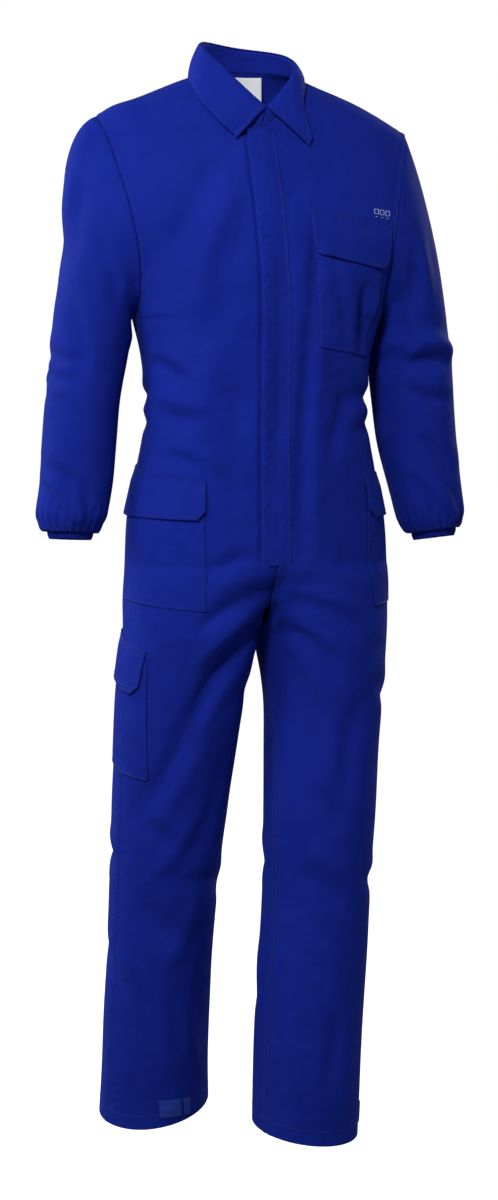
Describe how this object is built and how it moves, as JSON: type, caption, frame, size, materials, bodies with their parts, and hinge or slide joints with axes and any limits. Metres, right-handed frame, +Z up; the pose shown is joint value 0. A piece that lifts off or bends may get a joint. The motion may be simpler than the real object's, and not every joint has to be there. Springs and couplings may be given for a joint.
{
  "type": "boiler suit",
  "caption": "Long-sleeved one-piece work coverall in blue twill, filled out as worn, with fly front, shirt collar, elastic cuffs and flapped pockets.",
  "frame": {"origin": "between the shoulders, where the wearer's shoulders hold the suit up", "axes": "+Z up the wearer's body, +X to the wearer's left, the front faces -Y"},
  "size_m": [0.623, 0.3072, 1.5469],
  "materials": {
    "blue_twill": "matt cotton-rich twill, slightly creased",
    "dark_thread": "matt sewing thread",
    "pale_thread": "satin embroidery thread",
    "white_label": "smooth woven satin label",
    "patch_blue": "finely woven patch, slightly lighter than the twill"
  },
  "bodies": {
    "root": {"front_right": "blue_twill", "front_left": "blue_twill", "back_right": "blue_twill", "back_left": "blue_twill", "sleeve_right": "blue_twill", "sleeve_left": "blue_twill", "cuff_right": "blue_twill", "cuff_left": "blue_twill", "collar_stand": "blue_twill", "collar_fall": "blue_twill", "placket": "blue_twill", "chest_pocket": "blue_twill", "chest_flap": "blue_twill", "hip_pocket_right": "blue_twill", "hip_flap_right": "blue_twill", "hip_pocket_left": "blue_twill", "hip_flap_left": "blue_twill", "thigh_pocket": "blue_twill", "thigh_flap": "blue_twill", "hem_patch_right": "patch_blue", "hem_tab_right": "patch_blue", "hem_patch_left": "patch_blue", "neck_label": "white_label"}
  },
  "joints": []
}
